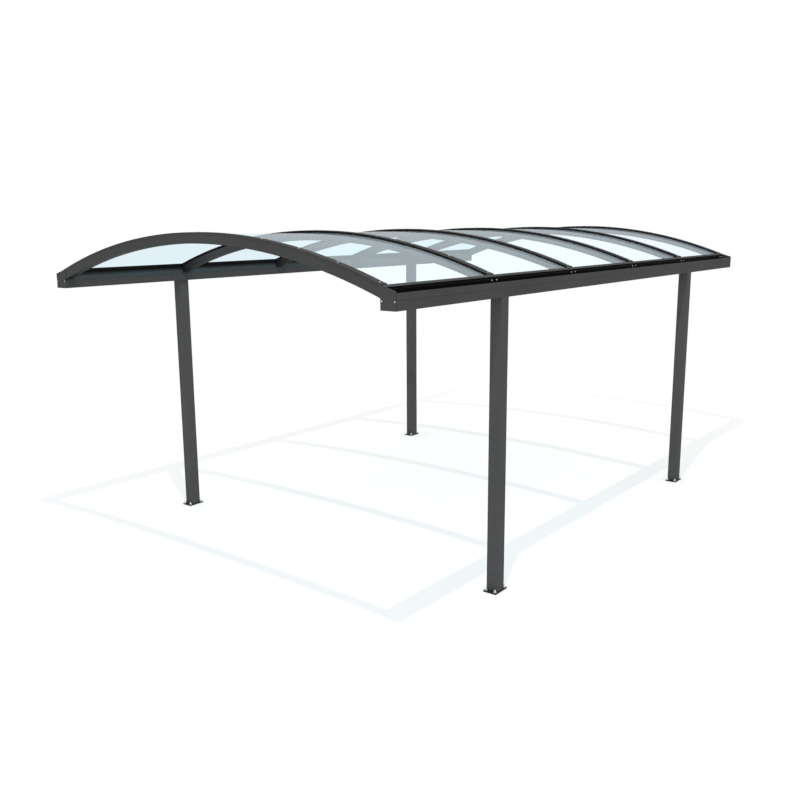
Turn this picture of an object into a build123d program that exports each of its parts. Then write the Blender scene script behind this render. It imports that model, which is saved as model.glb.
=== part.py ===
from build123d import *
import math
import os

os.makedirs("parts", exist_ok=True)

# Overall sizes in millimetres: X across, Y along towards the rear, Z up from the ground
overall_width = 3600
overall_length = 6120
clearance_height = 2200

# Posts, the front pair under one of the arches
front_post_arch = 1
post_spacing = 3600
post_width = 96
post_wall = 3
post_corner_radius = 6

# Base plates, longer along the carport, with one row of anchor holes before and behind the post
plate_width = 112
plate_length = 164
plate_thickness = 10
plate_corner_radius = 6
anchor_hole_diameter = 14
anchor_spacing_across = 76
anchor_spacing_along = 126

# Gutter extrusion: a closed box below, an open trough outside, an arch-carrying chamber inside
gutter_width = 120
gutter_wall = 3
gutter_box_height = 61
trough_wall_height = 108
chamber_width = 24
chamber_seat_width = 20
chamber_outer_fall = 4
shadow_groove_height = 3
shadow_groove_depth = 1.5
lip_width = 8
lip_thickness = 3

# End caps of the gutters, with a thin ear that laps over the foot of the arch beside it
end_cap_thickness = 6
end_cap_outer_height = 118
end_cap_inner_height = 157
end_cap_ear_width = 12
end_cap_corner_radius = 4
cap_screw_diameter = 5.5
cap_screw_seat_diameter = 12
cap_screw_seat_depth = 3
cap_screw_height = 57
cap_screw_edge_distance = 10
screw_port_bore = 4.8

# Arches: a hollow box with a screw channel let into its top, bent to one radius
arch_count = 6
arch_radius = 4730
arch_foot_height = 72
arch_setback = 2
arch_width = 68
arch_box_depth = 58
arch_wall = 2.5
arch_corner_chamfer = 2
screw_channel_width = 5
screw_channel_depth = 10
raised_side_width = 23
end_face_depth = 60
end_groove_height = 2
end_groove_depth = 2

# Roof panels and the seals under and over their edges
panel_thickness = 4
panel_edge_gap = 3
panel_end_gap = 1
lower_seal_height = 2
upper_seal_height = 11
eave_seal_thickness = 4
eave_seal_width = 24
eave_seal_gap = 0.3

# Glazing caps screwed down on the arches
cap_thickness = 5
cap_bevel_width = 6
cap_bevel_height = 1
cap_web_width = 8
end_seal_height = 1.5
end_seal_setback = 2
clip_rise = 1.5

# Eave trims that clasp the lower edges of the panels, with a web that stands up beside them
trim_thickness = 3
trim_width = 42
trim_web = 4
trim_web_top = 155

# Places worked out from the sizes above
gutter_inner_x = overall_width / 2 - gutter_width
gutter_length = overall_length - 2 * end_cap_thickness
post_x = overall_width / 2 - post_width / 2
half_length = overall_length / 2
first_arch_place = arch_setback + arch_width / 2 - half_length
arch_pitch = -2 * first_arch_place / (arch_count - 1)
arch_places = [first_arch_place + arch_pitch * i for i in range(arch_count)]
arch_names = ["front"] + [f"intermediate_{i}" for i in range(1, arch_count - 1)] + ["rear"]
foot_z = clearance_height + arch_foot_height
arch_center_z = foot_z - math.sqrt(arch_radius**2 - gutter_inner_x**2)
arch_axis = Axis((0, 0, arch_center_z), (0, 1, 0))

# Radial levels of the roof build-up, measured from the axis of the arches
box_top = arch_radius + arch_box_depth
panel_bottom = box_top + lower_seal_height
panel_top = panel_bottom + panel_thickness
cap_bottom = panel_top + upper_seal_height
cap_top = cap_bottom + cap_thickness
trim_bottom = panel_bottom - trim_thickness
trim_top = panel_top + trim_thickness
end_face_top = arch_radius + end_face_depth
end_band_bottom = end_face_top + end_groove_height
end_band_top = cap_bottom - end_seal_height


def angle_at(x, radius):
    """Angle in degrees from the crown at which a circle of this radius is x away from the middle."""
    return math.degrees(math.asin(x / radius))


# Angles at which the pieces of the roof end over the eaves
seat_angle = angle_at(gutter_inner_x, trim_bottom)
seat_x = gutter_inner_x + chamber_seat_width
web_x = seat_x - trim_web
trim_outer_angle = angle_at(seat_x, trim_top)
trim_inner_angle = trim_outer_angle - math.degrees(trim_width / trim_top)
panel_end_angle = angle_at(web_x - panel_end_gap, panel_top)
clip_top = cap_top + clip_rise
clip_end_angle = angle_at(gutter_inner_x, clip_top)
eave_seal_angle = seat_angle - math.degrees(eave_seal_width / panel_bottom)
past_foot_angle = angle_at(gutter_inner_x + gutter_width, arch_radius)


def radial_plane(angle):
    """Plane through the arch axis: local X runs along the carport, local Y is the radius."""
    turn = math.radians(angle)
    return Plane((0, 0, arch_center_z), (0, 1, 0), (math.cos(turn), 0, -math.sin(turn)))


def height_on(radius, x):
    """Height of a circle about the arch axis at a distance x from the middle."""
    return arch_center_z + math.sqrt(radius**2 - x**2)


def save(builder, label):
    builder.part.label = label
    export_step(builder.part, f"parts/{label}.step")


def bent(points, start_angle, end_angle):
    """Adds a closed section, given as (along, radius) points, bent about the arch axis."""
    with BuildSketch(radial_plane(start_angle)) as section:
        with BuildLine():
            Polyline(*points, close=True)
        make_face()
    revolve(section.sketch, axis=arch_axis, revolution_arc=end_angle - start_angle)


def box_points(along_from, along_to, radius_from, radius_to):
    return [
        (along_from, radius_from),
        (along_to, radius_from),
        (along_to, radius_to),
        (along_from, radius_to),
    ]


def trim_to_gutters():
    """Cuts both ends of a bent piece upright where they meet the gutters."""
    split(bisect_by=Plane.YZ.offset(gutter_inner_x), keep=Keep.BOTTOM)
    split(bisect_by=Plane.YZ.offset(-gutter_inner_x), keep=Keep.TOP)


# Base plates and posts at the four corners
front_post_place = arch_places[front_post_arch]
for end_name, along in (("front", front_post_place), ("rear", front_post_place + post_spacing)):
    for side_name, across in (("left", -post_x), ("right", post_x)):
        with BuildPart() as base_plate:
            with BuildSketch(Plane((across, along, 0))):
                RectangleRounded(plate_width, plate_length, plate_corner_radius)
                with GridLocations(anchor_spacing_across, anchor_spacing_along, 2, 2):
                    Circle(anchor_hole_diameter / 2, mode=Mode.SUBTRACT)
            extrude(amount=plate_thickness)
        save(base_plate, f"{end_name}_{side_name}_base_plate")

        with BuildPart() as post:
            with BuildSketch(Plane((across, along, plate_thickness))):
                RectangleRounded(post_width, post_width, post_corner_radius)
                offset(amount=-post_wall, mode=Mode.SUBTRACT)
            extrude(amount=clearance_height - plate_thickness)
        save(post, f"{end_name}_{side_name}_post")


# Gutters, as one extruded section on each side
seat_inner_z = height_on(trim_bottom, gutter_inner_x)
seat_outer_z = height_on(trim_bottom, seat_x)
chamber_outer_z = seat_outer_z - chamber_outer_fall
outer_x = overall_width / 2
box_top_z = clearance_height + gutter_box_height
trough_top_z = clearance_height + trough_wall_height
eave_top_z = clearance_height + trim_web_top
chamber_x = gutter_inner_x + chamber_width

gutter_outline = [
    (gutter_inner_x, clearance_height),
    (outer_x, clearance_height),
    (outer_x, box_top_z),
    (outer_x - shadow_groove_depth, box_top_z),
    (outer_x - shadow_groove_depth, box_top_z + shadow_groove_height),
    (outer_x, box_top_z + shadow_groove_height),
    (outer_x, trough_top_z),
    (outer_x - lip_width, trough_top_z),
    (outer_x - lip_width, trough_top_z - lip_thickness),
    (outer_x - gutter_wall, trough_top_z - lip_thickness),
    (outer_x - gutter_wall, box_top_z),
    (chamber_x, box_top_z),
    (chamber_x, chamber_outer_z),
    (seat_x, seat_outer_z),
    (gutter_inner_x, seat_inner_z),
    (gutter_inner_x, box_top_z + shadow_groove_height),
    (gutter_inner_x + shadow_groove_depth, box_top_z + shadow_groove_height),
    (gutter_inner_x + shadow_groove_depth, box_top_z),
    (gutter_inner_x, box_top_z),
]
box_cavity = [
    (gutter_inner_x + gutter_wall, clearance_height + gutter_wall),
    (outer_x - gutter_wall, clearance_height + gutter_wall),
    (outer_x - gutter_wall, box_top_z - gutter_wall),
    (gutter_inner_x + gutter_wall, box_top_z - gutter_wall),
]
chamber_cavity = [
    (gutter_inner_x + gutter_wall, box_top_z),
    (chamber_x - gutter_wall, box_top_z),
    (chamber_x - gutter_wall, chamber_outer_z - gutter_wall),
    (seat_x, seat_outer_z - gutter_wall),
    (gutter_inner_x + gutter_wall, seat_outer_z - gutter_wall),
]
# The top of an end cap slopes up in one line to the tip of its ear
ear_x = gutter_inner_x - end_cap_ear_width
cap_slope_share = (end_cap_inner_height - end_cap_outer_height) / (outer_x - ear_x)
cap_outer_z = clearance_height + end_cap_outer_height
ear_foot_z = cap_outer_z + cap_slope_share * gutter_width
end_cap_outline = [
    (gutter_inner_x, clearance_height),
    (outer_x, clearance_height),
    (outer_x, cap_outer_z),
    (gutter_inner_x, ear_foot_z),
]
ear_outline = [
    (gutter_inner_x, foot_z),
    (gutter_inner_x, ear_foot_z),
    (ear_x, clearance_height + end_cap_inner_height),
    (ear_x, height_on(arch_radius, ear_x)),
]
cap_screw_places = [
    (gutter_inner_x + cap_screw_edge_distance, clearance_height + cap_screw_height),
    (outer_x - cap_screw_edge_distance, clearance_height + cap_screw_height),
]
# The ports that take the screws of the end caps hang from the top wall of the box
screw_port_radius = gutter_box_height - cap_screw_height


def on_side(points, side):
    """The same points on the right (1) or mirrored to the left (-1)."""
    return [(side * x, z) for x, z in points]


for side_name, side in (("left", -1), ("right", 1)):
    with BuildPart() as gutter:
        with BuildSketch(Plane.XZ):
            with BuildLine():
                Polyline(*on_side(gutter_outline, side), close=True)
            make_face()
            for cavity in (box_cavity, chamber_cavity):
                with BuildLine():
                    Polyline(*on_side(cavity, side), close=True)
                make_face(mode=Mode.SUBTRACT)
            with Locations(*on_side(cap_screw_places, side)):
                Circle(screw_port_radius)
                Circle(screw_port_bore / 2, mode=Mode.SUBTRACT)
        extrude(amount=gutter_length / 2, both=True)
    save(gutter, f"{side_name}_gutter")

    for end_name, end in (("front", 1), ("rear", -1)):
        outer_face = Plane((0, -end * half_length, 0), (end, 0, 0), (0, -end, 0))
        with BuildPart() as end_cap:
            with BuildSketch(outer_face) as cap_face:
                with BuildLine():
                    Polyline(*on_side(end_cap_outline, end * side), close=True)
                make_face()
                outer_corners = cap_face.vertices().group_by(Axis.X)[-1 if end * side > 0 else 0]
                fillet(outer_corners, end_cap_corner_radius)
            extrude(amount=-end_cap_thickness)
            with BuildSketch(outer_face):
                with BuildLine():
                    Polyline(*on_side(ear_outline, end * side), close=True)
                make_face()
            extrude(amount=-arch_setback)
            with Locations(outer_face):
                with Locations(*on_side(cap_screw_places, end * side)):
                    CounterBoreHole(
                        cap_screw_diameter / 2, cap_screw_seat_diameter / 2, cap_screw_seat_depth
                    )
        save(end_cap, f"{end_name}_{side_name}_gutter_end_cap")


# Arch sections, as (distance along from the middle of the arch, radius) points
half_arch = arch_width / 2
raised_inner = raised_side_width - half_arch
half_web = cap_web_width / 2
half_channel = screw_channel_width / 2
channel_bottom = box_top - screw_channel_depth
cap_edge = cap_top - cap_bevel_height
cap_flat = half_arch - cap_bevel_width

arch_section = [
    (-half_arch, arch_radius),
    (half_arch, arch_radius),
    (half_arch, box_top),
    (half_channel, box_top),
    (half_channel, channel_bottom),
    (-half_channel, channel_bottom),
    (-half_channel, box_top),
    (-half_arch, box_top),
]
# The outer side of a front or rear arch rises past the panel edge, with a groove below a raised band
end_arch_section = arch_section[:-1] + [
    (raised_inner, box_top),
    (raised_inner, end_band_top),
    (-half_arch, end_band_top),
    (-half_arch, end_band_bottom),
    (end_groove_depth - half_arch, end_band_bottom),
    (end_groove_depth - half_arch, end_face_top),
    (-half_arch, end_face_top),
]
cavity_side = half_arch - arch_wall
cavity_bottom = arch_radius + arch_wall
cavity_top = box_top - arch_wall
channel_side = half_channel + arch_wall
channel_floor = channel_bottom - arch_wall
arch_cavity = [
    (-cavity_side, cavity_bottom),
    (cavity_side, cavity_bottom),
    (cavity_side, cavity_top),
    (channel_side, cavity_top),
    (channel_side, channel_floor),
    (-channel_side, channel_floor),
    (-channel_side, cavity_top),
    (-cavity_side, cavity_top),
]
# The hollow of a front or rear arch reaches up behind the groove and the band
upstand_inner = raised_inner - arch_wall
upstand_outer = end_groove_depth - cavity_side
upstand_top = end_band_top - arch_wall
end_arch_cavity = arch_cavity[:-1] + [
    (upstand_inner, cavity_top),
    (upstand_inner, upstand_top),
    (upstand_outer, upstand_top),
    (upstand_outer, cavity_top),
    (-cavity_side, cavity_top),
]

# Cap sections: a bevelled bar with a web that bears on the arch
cap_section = [
    (-half_arch, cap_bottom),
    (-half_web, cap_bottom),
    (-half_web, box_top),
    (half_web, box_top),
    (half_web, cap_bottom),
    (half_arch, cap_bottom),
    (half_arch, cap_edge),
    (cap_flat, cap_top),
    (-cap_flat, cap_top),
    (-half_arch, cap_edge),
]
# Seals: a strip on each shoulder of an arch, and a strip under each edge of a cap
edge_from_arch = half_web + panel_edge_gap
lower_seal_section = box_points(edge_from_arch, half_arch, box_top, panel_bottom)
upper_seal_section = box_points(half_web, half_arch, panel_top, cap_bottom)
# Clips follow the bevel of the caps
clip_edge = clip_top - cap_bevel_height
clip_section = [
    (-half_arch, trim_top),
    (half_arch, trim_top),
    (half_arch, clip_edge),
    (cap_flat, clip_top),
    (-cap_flat, clip_top),
    (-half_arch, clip_edge),
]
# A front or rear clip rests on the raised side of its arch
end_clip_section = [
    (-half_arch, cap_bottom),
    (raised_inner, cap_bottom),
    (raised_inner, trim_top),
] + clip_section[1:]
end_seal_section = box_points(end_seal_setback - half_arch, raised_inner, end_band_top, cap_bottom)


def at_arch(points, index, flip=1):
    """Section points moved to an arch, with flip -1 to turn them end for end."""
    return [(arch_places[index] + flip * along, radius) for along, radius in points]


last_arch = arch_count - 1
end_arches = (0, last_arch)


def flip_of(index):
    """Turns the pieces of the rear arch end for end."""
    return -1 if index == last_arch else 1


def faces_panel(index, flip):
    """True where a panel lies on this side of an arch, rather than the open end of the roof."""
    return 0 <= index + min(flip, 0) < last_arch


for i, name in enumerate(arch_names):
    if i in end_arches:
        outline, cavity = end_arch_section, end_arch_cavity
    else:
        outline, cavity = arch_section, arch_cavity
    with BuildPart() as arch:
        with BuildSketch(radial_plane(-past_foot_angle)) as section:
            with BuildLine():
                Polyline(*at_arch(outline, i, flip_of(i)), close=True)
            make_face()
            chamfer(section.vertices().group_by(Axis.Y)[0], arch_corner_chamfer)
            with BuildLine():
                Polyline(*at_arch(cavity, i, flip_of(i)), close=True)
            make_face(mode=Mode.SUBTRACT)
        revolve(axis=arch_axis, revolution_arc=2 * past_foot_angle)
        trim_to_gutters()
    save(arch, f"{name}_arch")

    with BuildPart() as glazing_cap:
        bent(at_arch(cap_section, i), -trim_inner_angle, trim_inner_angle)
    save(glazing_cap, f"{name}_glazing_cap")

# Seals along the arches, under and over the edges of the panels
with BuildPart() as lower_seals:
    for i in range(arch_count):
        for flip in (-1, 1):
            if faces_panel(i, flip):
                bent(at_arch(lower_seal_section, i, flip), -past_foot_angle, past_foot_angle)
    trim_to_gutters()
save(lower_seals, "lower_glazing_seals")

with BuildPart() as upper_seals:
    for i in range(arch_count):
        for flip in (-1, 1):
            if faces_panel(i, flip):
                bent(at_arch(upper_seal_section, i, flip), -trim_inner_angle, trim_inner_angle)
            else:
                bent(at_arch(end_seal_section, i, -flip), -clip_end_angle, clip_end_angle)
save(upper_seals, "upper_glazing_seals")

# Roof panels, one in each bay
for bay in range(arch_count - 1):
    with BuildPart() as panel:
        along_from = arch_places[bay] + edge_from_arch
        along_to = arch_places[bay + 1] - edge_from_arch
        bent(
            box_points(along_from, along_to, panel_bottom, panel_top),
            -panel_end_angle,
            panel_end_angle,
        )
    save(panel, f"roof_panel_{bay + 1}")

# Eave trims, eave seals and the clips that end the caps, on both sides
trim_end = half_length - arch_setback - raised_side_width
eave_web = [
    (web_x, height_on(trim_bottom, web_x)),
    (seat_x, seat_outer_z),
    (seat_x, eave_top_z),
    (web_x, eave_top_z),
]
seal_top = panel_bottom - eave_seal_gap
seal_bottom = seal_top - eave_seal_thickness


def over_eave(points, side, angle_from, angle_to):
    """Adds a section bent over one eave, between two angles from the crown."""
    first, last = sorted((side * angle_from, side * angle_to))
    bent(points, first, last)


def eave_strip(side, along, radii, angles):
    """Adds a flat strip over one eave, between two places along and two radii."""
    over_eave(box_points(*along, *radii), side, *angles)


for side_name, side in (("left", -1), ("right", 1)):
    with BuildPart() as eave_trim:
        trim_run = (-trim_end, trim_end)
        eave_strip(side, trim_run, (panel_top, trim_top), (trim_inner_angle, trim_outer_angle))
        eave_strip(side, trim_run, (trim_bottom, panel_bottom), (seat_angle, trim_outer_angle))
        with BuildSketch(Plane.XZ):
            with BuildLine():
                Polyline(*on_side(eave_web, side), close=True)
            make_face()
        extrude(amount=gutter_length / 2, both=True)
    save(eave_trim, f"{side_name}_eave_trim")

    with BuildPart() as eave_seals:
        for bay in range(arch_count - 1):
            between = (arch_places[bay] + half_arch, arch_places[bay + 1] - half_arch)
            eave_strip(side, between, (seal_bottom, seal_top), (eave_seal_angle, seat_angle))
    save(eave_seals, f"{side_name}_eave_seals")

    with BuildPart() as clips:
        for i in range(arch_count):
            section_points = end_clip_section if i in end_arches else clip_section
            over_eave(at_arch(section_points, i, flip_of(i)), side, trim_inner_angle, clip_end_angle)
    save(clips, f"{side_name}_cap_clips")
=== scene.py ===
"""Looks of the arched carport: finishes, fasteners, floor, light and camera."""
import math

import bmesh
import bpy
from mathutils import Matrix, Vector


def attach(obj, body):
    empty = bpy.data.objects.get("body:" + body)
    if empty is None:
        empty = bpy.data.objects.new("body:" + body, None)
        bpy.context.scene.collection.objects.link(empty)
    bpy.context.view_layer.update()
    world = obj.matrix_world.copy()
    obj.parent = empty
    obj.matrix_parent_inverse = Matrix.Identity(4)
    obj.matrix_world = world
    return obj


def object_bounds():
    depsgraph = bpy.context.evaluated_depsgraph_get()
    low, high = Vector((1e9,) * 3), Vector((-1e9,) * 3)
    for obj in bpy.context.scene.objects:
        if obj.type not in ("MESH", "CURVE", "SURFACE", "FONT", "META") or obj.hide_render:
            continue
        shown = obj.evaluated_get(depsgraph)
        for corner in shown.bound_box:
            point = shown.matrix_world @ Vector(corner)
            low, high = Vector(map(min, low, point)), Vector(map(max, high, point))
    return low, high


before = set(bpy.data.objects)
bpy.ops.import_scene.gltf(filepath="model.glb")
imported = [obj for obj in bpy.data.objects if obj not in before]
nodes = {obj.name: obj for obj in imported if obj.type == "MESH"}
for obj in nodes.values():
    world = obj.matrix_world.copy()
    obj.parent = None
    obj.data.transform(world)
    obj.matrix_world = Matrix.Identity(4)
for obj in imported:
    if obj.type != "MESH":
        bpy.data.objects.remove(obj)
cad_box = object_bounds()


def corners(name):
    """The low and the high corner of a CAD node."""
    points = [v.co for v in nodes[name].data.vertices]
    low = Vector(min(p[axis] for p in points) for axis in range(3))
    high = Vector(max(p[axis] for p in points) for axis in range(3))
    return low, high


def middle(name):
    low, high = corners(name)
    return (low + high) / 2


# Sizes of the part's source that its nodes don't give directly, in metres
ARCH_AXIS_Z = -2.14959
ROOF_BUILD_UP = 0.08
CAP_OVER_TRIM = 0.013
TRIM_WEB = 0.004
CHAMBER_WIDTH = 0.024
BOX_HEIGHT = 0.061
LIP_HEIGHT = 0.105
CHAMBER_HEIGHT = 0.127

# Places of the part in metres, taken from the CAD nodes
ARCH_PLACES = sorted(middle(name).y for name in nodes if name.endswith("_arch"))
POST_PLACES = [middle(name) for name in nodes if name.endswith("_post")]
PLATE_TOP = corners("front_left_base_plate")[1].z
FRONT_Y, REAR_Y = cad_box[0][1], cad_box[1][1]
CAP_TOP_RADIUS = corners("front_glazing_cap")[1].z - ARCH_AXIS_Z
ARCH_RADIUS = CAP_TOP_RADIUS - ROOF_BUILD_UP
TRIM_TOP_RADIUS = CAP_TOP_RADIUS - CAP_OVER_TRIM
gutter_low, gutter_high = corners("right_gutter")
clip_low, clip_high = corners("right_cap_clips")
CLIP_TOP_RADIUS = math.hypot(clip_low.x, clip_high.z - ARCH_AXIS_Z)
INNER_X, OUTER_X = gutter_low.x, gutter_high.x
WEB_X = corners("right_eave_trim")[1].x - TRIM_WEB
EAR_X = corners("front_right_gutter_end_cap")[0].x
GUTTER_FOOT = gutter_low.z
TROUGH_FLOOR = GUTTER_FOOT + BOX_HEIGHT
LIP_UNDERSIDE = GUTTER_FOOT + LIP_HEIGHT


# Node helpers

def input_of(n, key):
    """An input by its name, with _ for a space, or by its place, as i and a number."""
    if key[0] == "i" and key[1:].isdigit():
        return n.inputs[int(key[1:])]
    return n.inputs[key.replace("_", " ")]


def add(tree, kind, attributes=None, **inputs):
    """Adds a shader node. Inputs are sockets to link or plain values."""
    n = tree.nodes.new(kind)
    for key, value in (attributes or {}).items():
        setattr(n, key, value)
    for key, value in inputs.items():
        socket = input_of(n, key)
        if isinstance(value, bpy.types.NodeSocket):
            tree.links.new(value, socket)
        else:
            socket.default_value = value
    return n


def math_node(tree, operation, a, b=0.0):
    return add(tree, "ShaderNodeMath", {"operation": operation}, i0=a, i1=b).outputs[0]


def times(tree, a, b):
    return math_node(tree, "MULTIPLY", a, b)


def plus(tree, a, b):
    return math_node(tree, "ADD", a, b)


def above(tree, value, limit):
    return math_node(tree, "GREATER_THAN", value, limit)


def below(tree, value, limit):
    return math_node(tree, "LESS_THAN", value, limit)


def between(tree, value, low, high):
    return times(tree, above(tree, value, low), below(tree, value, high))


def noise(tree, vector, scale, detail=2.0, roughness=0.5):
    n = add(tree, "ShaderNodeTexNoise", Vector=vector, Scale=scale, Detail=detail, Roughness=roughness)
    return n.outputs["Fac"]


def spread(tree, value, low, high, from_low=0.3, from_high=0.7):
    """Maps a range of a value, at first the middle range of a noise, to low and high."""
    n = add(
        tree, "ShaderNodeMapRange", Value=value,
        From_Min=from_low, From_Max=from_high, To_Min=low, To_Max=high,
    )
    return n.outputs["Result"]


def blend_colour(tree, factor, a, b):
    n = add(tree, "ShaderNodeMix", {"data_type": "RGBA"}, i0=factor, i6=a, i7=b)
    return n.outputs[2]


def bump(tree, height, strength, distance, **under):
    """A bumped normal, over another one where Normal gives it."""
    n = add(tree, "ShaderNodeBump", Strength=strength, Distance=distance, Height=height, **under)
    return n.outputs[0]


def shade(colour, k):
    return tuple(c * k for c in colour) + (1.0,)


def start(name):
    mat = bpy.data.materials.new(name)
    mat.use_nodes = True
    tree = mat.node_tree
    bsdf = tree.nodes["Principled BSDF"]
    place = tree.nodes.new("ShaderNodeTexCoord").outputs["Object"]
    return mat, tree, bsdf, place


def split(tree, place):
    n = add(tree, "ShaderNodeSeparateXYZ", Vector=place)
    return n.outputs["X"], n.outputs["Y"], n.outputs["Z"]


def radius_of(tree, x, z):
    """Distance from the axis of the arches."""
    rise = math_node(tree, "SUBTRACT", z, ARCH_AXIS_Z)
    squares = plus(tree, times(tree, x, x), times(tree, rise, rise))
    return math_node(tree, "SQRT", squares)


# Powder coat and the zones of it that take another colour, most of them painted shade

LINE_STRETCH = 0.004
LINE_SHARE = 0.45
CLOUD_SHARE = 0.55
SPECK_LIGHTER = 1.35
COAT_SHINE = 0.03


def powder_coat(name, colour, run, rough=(0.56, 0.7), zones=()):
    """Anthracite powder coat with a fine orange peel, faint extrusion lines and soft variation of tone.

    run is the direction of the extrusion lines: "x", "y", "z" or "arch". zones are pairs of a mask
    and the colour that the coat takes under it; most of them are painted shade.
    """
    mat, tree, bsdf, place = start(name)
    x, y, z = split(tree, place)
    if run == "arch":
        line_place = add(tree, "ShaderNodeCombineXYZ", X=radius_of(tree, x, z), Y=y).outputs[0]
        stretch = (1.0, 1.0, 1.0)
    else:
        line_place = place
        stretch = tuple(LINE_STRETCH if axis == run else 1.0 for axis in "xyz")
    stretched = add(tree, "ShaderNodeVectorMath", {"operation": "MULTIPLY"}, i0=line_place, i1=stretch)
    lines = noise(tree, stretched.outputs[0], scale=160.0, detail=3.0, roughness=0.6)
    cloud = noise(tree, place, scale=1.7, detail=4.0, roughness=0.55)
    specks = noise(tree, place, scale=520.0)
    tone = plus(tree, times(tree, lines, LINE_SHARE), times(tree, cloud, CLOUD_SHARE))
    lightness = spread(tree, tone, 0.0, 1.0, from_low=0.35, from_high=0.65)
    paint = blend_colour(tree, lightness, shade(colour, 0.9), shade(colour, 1.1))
    speckled = spread(tree, specks, low=0.0, high=0.35, from_low=0.5, from_high=0.8)
    paint = blend_colour(tree, speckled, paint, shade(colour, SPECK_LIGHTER))
    gloss = spread(tree, noise(tree, place, scale=38.0, detail=3.0), rough[0], rough[1])
    for mask, tint in zones:
        toned = blend_colour(tree, spread(tree, specks, 0.0, 1.0), shade(tint, 0.8), shade(tint, 1.25))
        paint = blend_colour(tree, mask(tree, x, z), paint, toned)
    tree.links.new(paint, bsdf.inputs["Base Color"])
    tree.links.new(gloss, bsdf.inputs["Roughness"])
    bsdf.inputs["Specular IOR Level"].default_value = COAT_SHINE
    peel = bump(tree, specks, strength=0.12, distance=0.0006)
    peel = bump(tree, lines, strength=0.08, distance=0.0008, Normal=peel)
    tree.links.new(peel, bsdf.inputs["Normal"])
    return mat


# How far the zones stand off the faces beside them, in metres
WALL_SKIN = 0.0028
FLOOR_SKIN = 0.0005
LIP_SKIN = 0.0023
SEAT_SKIN = 0.0203
INNER_WALL_SKIN = 0.0025
UNDERSIDE_SKIN = 0.0015
EDGE_SKIN = 0.0003
WEB_SKIN = 0.0005
LEAF_SKIN = 0.0006
WEB_OUTER_SKIN = 0.003
WEB_FOOT = 0.0032

# Where the painted shade under the eaves and at the feet of the arches begins and is full, and how deep it is
EAVE_SHADE_START = 0.092
EAVE_SHADE_FULL = 0.126
EAVE_SHADE = 0.93
FOOT_SHADE_START = 0.42
FOOT_SHADE_FULL = 0.02
FOOT_SHADE = 0.72


def across(tree, x):
    """Distance from the middle of the carport."""
    return math_node(tree, "ABSOLUTE", x)


def in_trough(tree, x, z):
    """The inside of the rain trough, between the arch chamber and the outer wall."""
    trough_middle = (INNER_X + OUTER_X) / 2
    low = TROUGH_FLOOR - FLOOR_SKIN
    by_wall = between(tree, across(tree, x), trough_middle, OUTER_X - WALL_SKIN)
    by_wall = times(tree, by_wall, between(tree, z, low, LIP_UNDERSIDE + LIP_SKIN))
    by_chamber = between(tree, across(tree, x), INNER_X + SEAT_SKIN, trough_middle)
    by_chamber = times(tree, by_chamber, between(tree, z, low, GUTTER_FOOT + CHAMBER_HEIGHT))
    return math_node(tree, "MAXIMUM", by_wall, by_chamber)


def on_inner_wall(tree, x):
    return below(tree, across(tree, x), INNER_X + INNER_WALL_SKIN)


def under_eave(tree, x, z):
    """The inner wall of a gutter, with painted shade that grows dark towards the eave seals."""
    rising = spread(tree, z, 0.0, EAVE_SHADE, GUTTER_FOOT + EAVE_SHADE_START, GUTTER_FOOT + EAVE_SHADE_FULL)
    return times(tree, on_inner_wall(tree, x), rising)


def panel_shade_band(tree, x, z):
    """The upper part of the inner wall, with painted bluish shade that stands for the light through the
    panels.
    """
    return times(tree, on_inner_wall(tree, x), above(tree, z, TROUGH_FLOOR))


def near_gutter(tree, x, z):
    """The feet of the arches, with painted shade that grows dark towards the gutters."""
    return spread(
        tree, across(tree, x), 0.0, FOOT_SHADE, INNER_X - FOOT_SHADE_START, INNER_X - FOOT_SHADE_FULL
    )


def under_arch(tree, x, z):
    """The underside of an arch, with painted shade that grows dark towards the gutters."""
    underside = below(tree, radius_of(tree, x, z), ARCH_RADIUS + UNDERSIDE_SKIN)
    return times(tree, underside, near_gutter(tree, x, z))


def ear_edge(tree, x, z):
    """The edge of an end cap that stands proud on the foot of an arch, painted black as the shade in the gap
    beside the arch.
    """
    return below(tree, across(tree, x), EAR_X + EDGE_SKIN)


def cap_rim(tree, x, z):
    """The outer edge of an end cap, where it meets the gutter, with painted shade of the seam and the rounded
    edge.
    """
    return above(tree, across(tree, x), OUTER_X - EDGE_SKIN)


def trim_shadow(tree, x, z):
    """The parts of an eave trim below its upper leaf, the inner side of its web and the foot of the outer."""
    radius = radius_of(tree, x, z)
    under_leaf = below(tree, radius, TRIM_TOP_RADIUS - LEAF_SKIN)
    inner = between(tree, across(tree, x), WEB_X - WEB_SKIN, WEB_X + WEB_SKIN)
    inner = times(tree, inner, above(tree, radius, TRIM_TOP_RADIUS + LEAF_SKIN))
    outer = above(tree, across(tree, x), WEB_X + WEB_OUTER_SKIN)
    outer = times(tree, outer, below(tree, radius, TRIM_TOP_RADIUS + WEB_FOOT))
    return math_node(tree, "MAXIMUM", under_leaf, math_node(tree, "MAXIMUM", inner, outer))


# Other finishes

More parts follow.
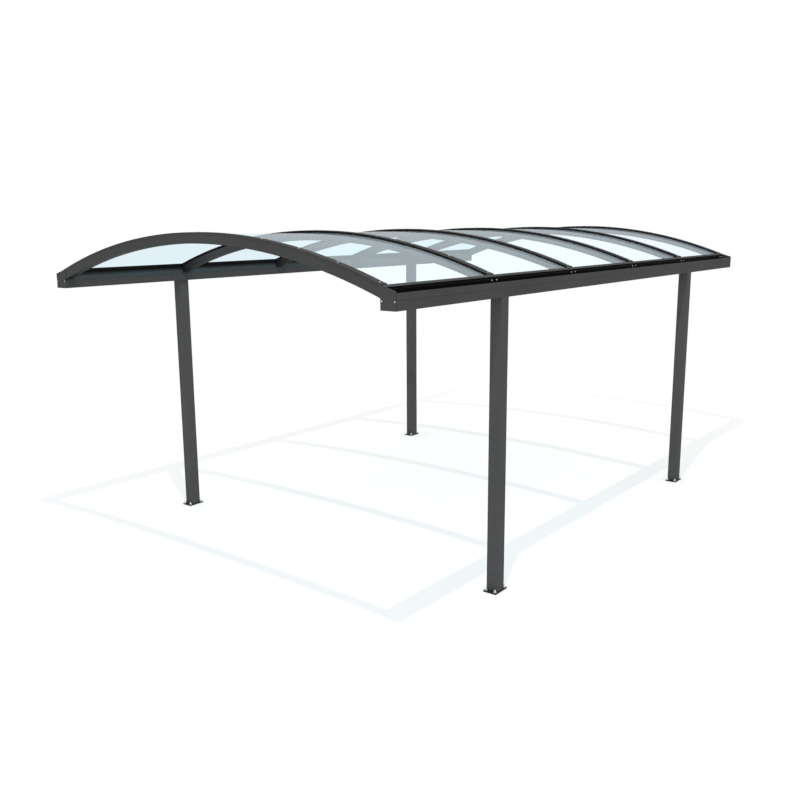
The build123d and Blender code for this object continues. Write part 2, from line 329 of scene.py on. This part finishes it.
RUBBER_DARK = (0.0035, 0.0037, 0.004, 1.0)
RUBBER_LIGHT = (0.0075, 0.0078, 0.008, 1.0)
RUBBER_SHINE = 0.08
SHEET_IOR = 1.58
SHEET_UPPER_FILM = 0.03
SHEET_HAZE = 0.2021
SHEET_MIRROR = 0.2732
SHEET_MIRROR_POWER = 5.0
SHEET_TINT = (0.872, 0.938, 0.964, 1.0)
SHEET_FILM = (0.82, 0.95, 1.0)
SHEET_DUST = 0.94
FILM_SHARE = 0.7
MOTE_SHARE = 0.3
FACING_UP = 0.2
PLATE_DARK = (0.006, 0.0065, 0.0065, 1.0)
PLATE_LIGHT = (0.012, 0.0125, 0.0125, 1.0)
PLATE_SCUFF = (0.035, 0.036, 0.036, 1.0)
PLATE_SHINE = 0.3
STEEL_DARK = (0.66, 0.66, 0.65, 1.0)
STEEL_LIGHT = (0.82, 0.82, 0.81, 1.0)
BLACK_LIGHT = (0.0, 0.0, 0.0, 1.0)
WHITE = (1.0, 1.0, 1.0, 1.0)


def rubber(name):
    mat, tree, bsdf, place = start(name)
    grain = noise(tree, place, scale=900.0)
    cloud = noise(tree, place, scale=14.0, detail=3.0)
    colour = blend_colour(tree, spread(tree, cloud, 0.0, 1.0), RUBBER_DARK, RUBBER_LIGHT)
    tree.links.new(colour, bsdf.inputs["Base Color"])
    tree.links.new(spread(tree, cloud, low=0.62, high=0.8), bsdf.inputs["Roughness"])
    bsdf.inputs["Specular IOR Level"].default_value = RUBBER_SHINE
    tree.links.new(bump(tree, grain, strength=0.15, distance=0.0005), bsdf.inputs["Normal"])
    return mat


def clear_sheet(name):
    """Clear sheet with a faint blue body and a thin film, which mirrors the pale sky from above."""
    mat, tree, bsdf, place = start(name)
    film = noise(tree, place, scale=1.3, detail=5.0, roughness=0.6)
    motes = noise(tree, place, scale=150.0)
    dust = plus(tree, times(tree, film, FILM_SHARE), times(tree, motes, MOTE_SHARE))
    dusty = spread(tree, dust, 0.0, 1.0)
    colour = blend_colour(tree, dusty, shade(SHEET_FILM, 1.0), shade(SHEET_FILM, SHEET_DUST))
    tree.links.new(colour, bsdf.inputs["Base Color"])
    tree.links.new(spread(tree, dust, low=0.005, high=0.013), bsdf.inputs["Roughness"])
    bsdf.inputs["IOR"].default_value = SHEET_IOR
    wave = noise(tree, place, scale=2.6)
    tree.links.new(bump(tree, wave, strength=0.008, distance=0.002), bsdf.inputs["Normal"])
    face = tree.nodes.new("ShaderNodeNewGeometry")
    inside = face.outputs["Backfacing"]
    from_above = above(tree, split(tree, face.outputs["Normal"])[2], FACING_UP)
    upper_face = times(tree, from_above, math_node(tree, "SUBTRACT", 1.0, inside))
    lower_face = times(tree, from_above, inside)
    low_angle = add(tree, "ShaderNodeLayerWeight", Blend=0.5).outputs["Facing"]
    mirror = times(tree, math_node(tree, "POWER", low_angle, SHEET_MIRROR_POWER), SHEET_MIRROR)
    share = times(tree, lower_face, plus(tree, mirror, SHEET_HAZE))
    share = plus(tree, share, times(tree, upper_face, SHEET_UPPER_FILM))
    tint = blend_colour(tree, upper_face, SHEET_TINT, WHITE)
    clear = add(tree, "ShaderNodeBsdfTransparent", Color=tint)
    mixed = add(tree, "ShaderNodeMixShader", i0=share, i1=clear.outputs[0], i2=bsdf.outputs[0])
    tree.links.new(mixed.outputs[0], tree.nodes["Material Output"].inputs["Surface"])
    return mat


def plate_paint(name):
    mat, tree, bsdf, place = start(name)
    mottle = noise(tree, place, scale=26.0, detail=5.0, roughness=0.65)
    grain = noise(tree, place, scale=420.0)
    worn = noise(tree, place, scale=75.0, detail=6.0, roughness=0.7)
    colour = blend_colour(tree, spread(tree, mottle, 0.0, 1.0), PLATE_DARK, PLATE_LIGHT)
    scuff = spread(tree, worn, low=0.0, high=0.5, from_low=0.62, from_high=0.75)
    colour = blend_colour(tree, scuff, colour, PLATE_SCUFF)
    tree.links.new(colour, bsdf.inputs["Base Color"])
    tree.links.new(spread(tree, mottle, low=0.42, high=0.6), bsdf.inputs["Roughness"])
    bsdf.inputs["Specular IOR Level"].default_value = PLATE_SHINE
    tree.links.new(bump(tree, grain, strength=0.2, distance=0.0006), bsdf.inputs["Normal"])
    return mat


def bright_steel(name):
    mat, tree, bsdf, place = start(name)
    brush = noise(tree, place, scale=700.0, detail=3.0)
    patina = noise(tree, place, scale=90.0, detail=4.0)
    colour = blend_colour(tree, spread(tree, patina, 0.0, 1.0), STEEL_DARK, STEEL_LIGHT)
    tree.links.new(colour, bsdf.inputs["Base Color"])
    bsdf.inputs["Metallic"].default_value = 1.0
    tree.links.new(spread(tree, brush, low=0.24, high=0.42), bsdf.inputs["Roughness"])
    tree.links.new(bump(tree, brush, strength=0.1, distance=0.0002), bsdf.inputs["Normal"])
    return mat


def dress(obj, mat):
    obj.data.materials.clear()
    obj.data.materials.append(mat)


# Finishes of the CAD nodes

ANTHRACITE = (0.056, 0.056, 0.056)
# A lighter copy of the anthracite: painted light that stands for more lamp light on the posts
POST_GREY = (0.068, 0.068, 0.068)
# A darker copy of the anthracite: painted shade that offsets the lamp light on the upward faces of the
# glazing caps
TOP_GREY = (0.045, 0.045, 0.045)
TRIM_GREY = (0.12, 0.12, 0.12)
# Painted shade on the outer edges of the end caps
RIM_GREY = (0.036, 0.036, 0.036)
# A darker copy of the anthracite: painted shade of the roof on the middle arches
SHADED_GREY = (0.048, 0.048, 0.048)
# Painted bluish shade on the upper part of the gutters' inner walls
PANEL_SHADE_BLUE = (0.0455, 0.0565, 0.06)
BLACK = (0.002, 0.0021, 0.0022)
CLIP_ROUGHNESS = (0.5, 0.62)

gutter_zones = [(in_trough, BLACK), (panel_shade_band, PANEL_SHADE_BLUE), (under_eave, BLACK)]
end_cap_zones = [(ear_edge, BLACK), (cap_rim, RIM_GREY)]
post_coat = powder_coat("anthracite_post", POST_GREY, "z")
end_arch_coat = powder_coat("anthracite_end_arch", ANTHRACITE, "arch", zones=[(under_arch, BLACK)])
arch_coat = powder_coat("anthracite_arch", SHADED_GREY, "arch", zones=[(near_gutter, BLACK)])
cap_coat = powder_coat("anthracite_cap", TOP_GREY, "arch")
gutter_coat = powder_coat("anthracite_gutter", ANTHRACITE, "y", zones=gutter_zones)
end_cap_coat = powder_coat("anthracite_end_cap", ANTHRACITE, "z", zones=end_cap_zones)
trim_coat = powder_coat("anthracite_trim", TRIM_GREY, "y", zones=[(trim_shadow, BLACK)])
clip_coat = powder_coat("anthracite_clip", ANTHRACITE, "y", rough=CLIP_ROUGHNESS)
seal_rubber = rubber("black_rubber")
sheet = clear_sheet("clear_sheet")
plate_black = plate_paint("black_plate")
steel = bright_steel("bright_steel")

for name, obj in nodes.items():
    if name.endswith("_post"):
        dress(obj, post_coat)
    elif name.endswith("_base_plate"):
        dress(obj, plate_black)
    elif name.endswith("_gutter_end_cap"):
        dress(obj, end_cap_coat)
    elif name.endswith("_gutter"):
        dress(obj, gutter_coat)
    elif name in ("front_arch", "rear_arch"):
        dress(obj, end_arch_coat)
    elif name.endswith("_arch"):
        dress(obj, arch_coat)
    elif name.endswith("_glazing_cap"):
        dress(obj, cap_coat)
    elif name.endswith("_eave_trim"):
        dress(obj, trim_coat)
    elif name.endswith("_clips"):
        dress(obj, clip_coat)
    elif name.startswith("roof_panel"):
        dress(obj, sheet)
        obj.visible_shadow = False
    else:
        dress(obj, seal_rubber)


# Fasteners, made as rings of points stacked along their axis

HEX_SIDES = 6
HEX_SHOULDER_SHARE = 0.78
HEX_TOP_SHARE = 0.86
HEX_TURN = 0.3
FLANGE_SHARES = ((1.0, 0.0), (1.0, 0.12), (0.86, 0.2), (0.7, 0.24))
HEAD_FLATS_SHARE = 0.62
HEAD_FOOT_SHARE = 0.22
HEAD_HEIGHT_SHARE = 0.55
SOCKET_SIDES = 24
SOCKET_SHARES = ((1.0, 1.0), (1.0, 0.5), (0.93, 0.2), (0.72, 0.0), (0.5, 0.0), (0.42, 0.08), (0.4, 0.7))
WASHER_PROFILE = ((0.0118, 0.0), (0.0118, 0.0018), (0.0112, 0.0024))
WASHER_SIDES = 28
NUT_FLATS = 0.0185
NUT_FOOT = 0.0024
NUT_HEIGHT = 0.0098
THREAD_TURNS = 7
THREAD_FOOT = 0.0122
THREAD_PITCH = 0.0012
THREAD_ROOT = 0.0053
THREAD_CREST = 0.0059
THREAD_CREST_RISE = 0.0006
STUD_TIP = (0.0046, 0.0216)
STUD_SIDES = 16


def ring(bm, matrix, radius, height, sides, turn=0.0):
    angles = [turn + 2 * math.pi / sides * i for i in range(sides)]
    points = [Vector((radius * math.cos(a), radius * math.sin(a), height)) for a in angles]
    return [bm.verts.new(matrix @ point) for point in points]


def loft(bm, rings):
    for low, high in zip(rings, rings[1:]):
        count = len(low)
        for i in range(count):
            j = (i + 1) % count
            bm.faces.new((low[i], low[j], high[j], high[i]))
    bm.faces.new(list(reversed(rings[0])))
    bm.faces.new(rings[-1])


def turned(bm, matrix, profile, sides=20, turn=0.0):
    """A closed form turned from (radius, height) pairs, from its foot to its top."""
    loft(bm, [ring(bm, matrix, r, h, sides, turn) for r, h in profile])


def hex_head(bm, matrix, across_flats, foot, height):
    r = across_flats / math.sqrt(3)
    profile = [(r, foot), (r, foot + height * HEX_SHOULDER_SHARE), (r * HEX_TOP_SHARE, foot + height)]
    turned(bm, matrix, profile, HEX_SIDES, HEX_TURN)


def flange_screw(bm, matrix, size):
    """A hexagon screw head with a domed flange, size across the flange."""
    r = size / 2
    turned(bm, matrix, [(r * a, r * h) for a, h in FLANGE_SHARES])
    hex_head(bm, matrix, size * HEAD_FLATS_SHARE, r * HEAD_FOOT_SHARE, r * HEAD_HEIGHT_SHARE)


def socket_screw(bm, matrix, size, height):
    """A low domed head with a hole in its top for the key."""
    r = size / 2
    turned(bm, matrix, [(r * a, -height * h) for a, h in SOCKET_SHARES], SOCKET_SIDES)


def anchor(bm, matrix):
    """Washer, nut and the end of a threaded stud."""
    turned(bm, matrix, WASHER_PROFILE, WASHER_SIDES)
    hex_head(bm, matrix, NUT_FLATS, NUT_FOOT, NUT_HEIGHT)
    thread = []
    for i in range(THREAD_TURNS):
        foot = THREAD_FOOT + THREAD_PITCH * i
        thread += [(THREAD_ROOT, foot), (THREAD_CREST, foot + THREAD_CREST_RISE)]
    turned(bm, matrix, thread + [STUD_TIP], STUD_SIDES)


def towards(point, normal, spin=0.0):
    turn = Vector(normal).to_track_quat("Z", "Y").to_matrix().to_4x4()
    return Matrix.Translation(point) @ turn @ Matrix.Rotation(spin, 4, "Z")


def finish_piece(bm, name, mat):
    bmesh.ops.recalc_face_normals(bm, faces=bm.faces)
    mesh = bpy.data.meshes.new(name)
    bm.to_mesh(mesh)
    bm.free()
    obj = bpy.data.objects.new(name, mesh)
    bpy.context.scene.collection.objects.link(obj)
    obj.data.materials.append(mat)
    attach(obj, "root")


def on_arch(x, y, radius):
    """A point on the roof and the direction out of it."""
    rise = math.sqrt(radius**2 - x**2)
    return Vector((x, y, ARCH_AXIS_Z + rise)), Vector((x / radius, 0.0, rise / radius))


# Screws on the glazing caps, the outermost one on each side through a clip
CLIP_SCREW_X = INNER_X - 0.03
CAP_SCREW_SPACING = 0.3355
CAP_SCREW_SIZE = 0.012
CAP_SCREW_SPIN = 0.7
SCREWS_PER_SIDE = 5
bm = bmesh.new()
for index, place in enumerate(ARCH_PLACES):
    for k in range(-SCREWS_PER_SIDE, SCREWS_PER_SIDE + 1):
        from_clip = SCREWS_PER_SIDE - abs(k)
        x = math.copysign(CLIP_SCREW_X - CAP_SCREW_SPACING * from_clip, k) if k else 0.0
        point, normal = on_arch(x, place, CAP_TOP_RADIUS if from_clip else CLIP_TOP_RADIUS)
        flange_screw(bm, towards(point, normal, CAP_SCREW_SPIN * k + index), CAP_SCREW_SIZE)
finish_piece(bm, "cap_screws", steel)

# Pairs of screws in the trough that hold the feet of the arches, moved inwards at both ends
TROUGH_SCREW_Z = GUTTER_FOOT + 0.1148
TROUGH_SCREW_SIZE = 0.0125
TROUGH_SCREW_SPIN = 0.4
TROUGH_SCREW_APART = 0.032
END_SCREW_APART = 0.026
END_SCREW_INWARD = 0.014
end_screws_inward = {0: END_SCREW_INWARD, len(ARCH_PLACES) - 1: -END_SCREW_INWARD}
bm = bmesh.new()
for side in (-1, 1):
    for index, place in enumerate(ARCH_PLACES):
        inward = end_screws_inward.get(index, 0.0)
        apart = END_SCREW_APART if inward else TROUGH_SCREW_APART
        for step in (-1, 1):
            y = place + inward + step * apart
            point = Vector((side * (INNER_X + CHAMBER_WIDTH), y, TROUGH_SCREW_Z))
            spin = TROUGH_SCREW_SPIN * index + step
            flange_screw(bm, towards(point, (side, 0, 0), spin), TROUGH_SCREW_SIZE)
finish_piece(bm, "trough_screws", steel)

# Screws sunk in the end caps of the gutters
CAP_EDGE_DISTANCE = 0.01
END_CAP_SCREW_Z = GUTTER_FOOT + 0.057
END_CAP_SCREW_SIZE = 0.0112
END_CAP_SCREW_HEIGHT = 0.0028
bm = bmesh.new()
for side in (-1, 1):
    for end, face_y in ((-1, FRONT_Y), (1, REAR_Y)):
        for x in (INNER_X + CAP_EDGE_DISTANCE, OUTER_X - CAP_EDGE_DISTANCE):
            point = Vector((side * x, face_y, END_CAP_SCREW_Z))
            socket_screw(bm, towards(point, (0, end, 0), side), END_CAP_SCREW_SIZE, END_CAP_SCREW_HEIGHT)
finish_piece(bm, "end_cap_screws", steel)

# Anchor bolts in the holes of the base plates
ANCHOR_ACROSS = 0.038
ANCHOR_ALONG = 0.063
ANCHOR_SPINS = (30, 9)
bm = bmesh.new()
for post in POST_PLACES:
    for dx in (-ANCHOR_ACROSS, ANCHOR_ACROSS):
        for dy in (-ANCHOR_ALONG, ANCHOR_ALONG):
            point = Vector((post.x + dx, post.y + dy, PLATE_TOP))
            anchor(bm, towards(point, (0, 0, 1), dx * ANCHOR_SPINS[0] + dy * ANCHOR_SPINS[1]))
finish_piece(bm, "anchor_bolts", steel)


# Floor, light and camera

KEY_PLACE = Vector((2.829, -4.39, 10.272))
KEY_ENERGY = 1500.0
KEY_COLOUR = (1.0, 0.93, 0.87)
KEY_RADIUS = 0.04
SKY_COLOUR = (0.97, 1.0, 1.03)
FLOOR_SIZE = 120.0
FLOOR_Z = -0.0005
FLOOR_GREY = (0.88, 0.88, 0.88, 1.0)
FLOOR_LEVEL = 1.09
FLOOR_SHARES = (0.455, 0.4, 0.395)
SHADOW_REACH = 11.1
SHADOW_POWERS = (2.3, 3.1, 3.6)
MOST_REACH = 1.28
SHADOW_FADE = (6.5, 10.0)


def shown_to_camera(tree):
    path = tree.nodes.new("ShaderNodeLightPath")
    seen = math_node(tree, "MAXIMUM", path.outputs["Is Camera Ray"], path.outputs["Is Transmission Ray"])
    return math_node(tree, "MAXIMUM", seen, path.outputs["Is Glossy Ray"])


def floor_material():
    """Pale floor, white where nothing shades it, with a faint shadow near the object.

    What the floor takes of the light grows with the distance from the lamp, so that far shadows
    stay as deep as near ones, and a glow makes up the rest to white.
    """
    mat = bpy.data.materials.new("pale_floor")
    mat.use_nodes = True
    tree = mat.node_tree
    tree.nodes.clear()
    out = tree.nodes.new("ShaderNodeOutputMaterial")
    place = tree.nodes.new("ShaderNodeTexCoord").outputs["Object"]
    away = add(tree, "ShaderNodeVectorMath", {"operation": "LENGTH"}, i0=place).outputs["Value"]
    near = spread(tree, away, 1.0, 0.0, *SHADOW_FADE)
    to_key = add(tree, "ShaderNodeVectorMath", {"operation": "DISTANCE"}, i0=place, i1=KEY_PLACE)
    distance = to_key.outputs["Value"]
    fall_off = math_node(tree, "POWER", distance, -3.0)
    key_light = times(tree, fall_off, KEY_ENERGY * KEY_PLACE.z / (4 * math.pi**2))
    reach = math_node(tree, "MINIMUM", math_node(tree, "DIVIDE", distance, SHADOW_REACH), MOST_REACH)
    shares, rest = [], []
    for base, power, sky_part, key_part in zip(FLOOR_SHARES, SHADOW_POWERS, SKY_COLOUR, KEY_COLOUR):
        share = times(tree, math_node(tree, "POWER", reach, power), base)
        light = plus(tree, times(tree, key_light, key_part), sky_part)
        shares.append(share)
        rest.append(math_node(tree, "SUBTRACT", FLOOR_LEVEL, times(tree, share, light)))
    tone = add(tree, "ShaderNodeCombineColor", i0=shares[0], i1=shares[1], i2=shares[2]).outputs[0]
    fill = add(tree, "ShaderNodeCombineColor", i0=rest[0], i1=rest[1], i2=rest[2]).outputs[0]
    faint = add(tree, "ShaderNodeBsdfDiffuse", Color=blend_colour(tree, near, BLACK_LIGHT, tone))
    glow = add(tree, "ShaderNodeEmission", Color=blend_colour(tree, near, WHITE, fill), Strength=1.0)
    shown = add(tree, "ShaderNodeAddShader", i0=faint.outputs[0], i1=glow.outputs[0]).outputs[0]
    matt = add(tree, "ShaderNodeBsdfDiffuse", Color=FLOOR_GREY).outputs[0]
    mixed = add(tree, "ShaderNodeMixShader", i0=shown_to_camera(tree), i1=matt, i2=shown)
    tree.links.new(mixed.outputs[0], out.inputs["Surface"])
    return mat


bpy.ops.mesh.primitive_plane_add(size=FLOOR_SIZE, location=(0, 0, FLOOR_Z))
floor = bpy.context.object
floor.name = "floor"
floor.data.materials.append(floor_material())

world = bpy.data.worlds.new("studio")
bpy.context.scene.world = world
world.use_nodes = True
tree = world.node_tree
tree.nodes.clear()
sky = add(tree, "ShaderNodeBackground", Color=SKY_COLOUR + (1.0,), Strength=1.0).outputs[0]
backdrop = add(tree, "ShaderNodeBackground", Color=WHITE, Strength=1.0).outputs[0]
mixed = add(tree, "ShaderNodeMixShader", i0=shown_to_camera(tree), i1=sky, i2=backdrop)
out = tree.nodes.new("ShaderNodeOutputWorld")
tree.links.new(mixed.outputs[0], out.inputs["Surface"])

lamp = bpy.data.lights.new("key", "POINT")
lamp.energy = KEY_ENERGY
lamp.color = KEY_COLOUR
lamp.shadow_soft_size = KEY_RADIUS
key = bpy.data.objects.new("key", lamp)
key.location = KEY_PLACE
bpy.context.scene.collection.objects.link(key)

# Camera at the photograph's place, found from the corners of the part
CAMERA_PLACE = (5.0145, -7.1597, 2.7179)
CAMERA_ANGLES = (37.8806, 11.3966, -0.3679)
PICTURE_WIDTH = 800.0
FOCAL_LENGTH_IN_PIXELS = 880.78
SENSOR_WIDTH = 36.0
CLIP_NEAR = 0.05
CLIP_FAR = 400.0
lens = bpy.data.cameras.new("camera")
lens.sensor_fit = "HORIZONTAL"
lens.sensor_width = SENSOR_WIDTH
lens.lens = SENSOR_WIDTH * FOCAL_LENGTH_IN_PIXELS / PICTURE_WIDTH
lens.clip_start = CLIP_NEAR
lens.clip_end = CLIP_FAR
camera = bpy.data.objects.new("camera", lens)
yaw, pitch, roll = (math.radians(angle) for angle in CAMERA_ANGLES)
forward = Vector((-math.sin(yaw) * math.cos(pitch), math.cos(yaw) * math.cos(pitch), -math.sin(pitch)))
level = Vector((math.cos(yaw), math.sin(yaw), 0.0))
upright = level.cross(forward)
right = math.cos(roll) * level + math.sin(roll) * upright
up = math.cos(roll) * upright - math.sin(roll) * level
facing = Matrix((right, up, -forward)).transposed().to_4x4()
camera.matrix_world = Matrix.Translation(CAMERA_PLACE) @ facing
bpy.context.scene.collection.objects.link(camera)
bpy.context.scene.camera = camera
bpy.context.scene.view_settings.view_transform = "Standard"
